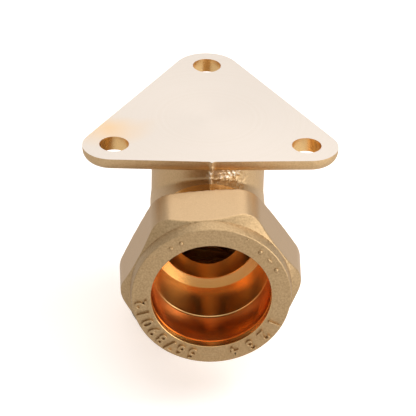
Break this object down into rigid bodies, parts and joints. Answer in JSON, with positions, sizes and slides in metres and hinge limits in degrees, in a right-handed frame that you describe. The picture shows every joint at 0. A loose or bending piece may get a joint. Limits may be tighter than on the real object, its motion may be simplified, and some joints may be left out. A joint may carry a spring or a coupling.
{
  "type": "wall plate elbow",
  "caption": "Brass wall plate elbow: a forged body with a triangular screw plate and a tapped outlet, and a compression nut with a copper olive for a copper pipe.",
  "frame": {"origin": "centre of the wall plate's back face, on the neck's axis", "axes": "+Z is the back face's normal, towards the wall; -Y is the pipe's axis, pointing out of the compression joint; the tapped outlet opens towards -Z"},
  "size_m": [0.0484, 0.0607, 0.043],
  "materials": {
    "body_brass": "forged, with machined faces and bores",
    "nut_brass": "forged, matt and finely grained",
    "olive_copper": "smooth red copper"
  },
  "bodies": {
    "elbow": {"elbow_body": "body_brass"},
    "olive_ring": {"olive": "olive_copper"},
    "nut": {"compression_nut": "nut_brass"}
  },
  "joints": [
    {"name": "nut_advance", "type": "slide", "parent": "elbow", "child": "olive_ring", "axis": [0, -1, 0], "range_m": [0, 0.00454]},
    {"name": "nut_screw", "type": "hinge", "parent": "olive_ring", "child": "nut", "pos_m": [0, -0.028, -0.01855], "axis": [0, -1, 0], "range_deg": [0, 900]}
  ],
  "couplings": [
    {"joint": "nut_advance", "follows": "nut_screw", "m_per_rad": 0.00028871}
  ]
}
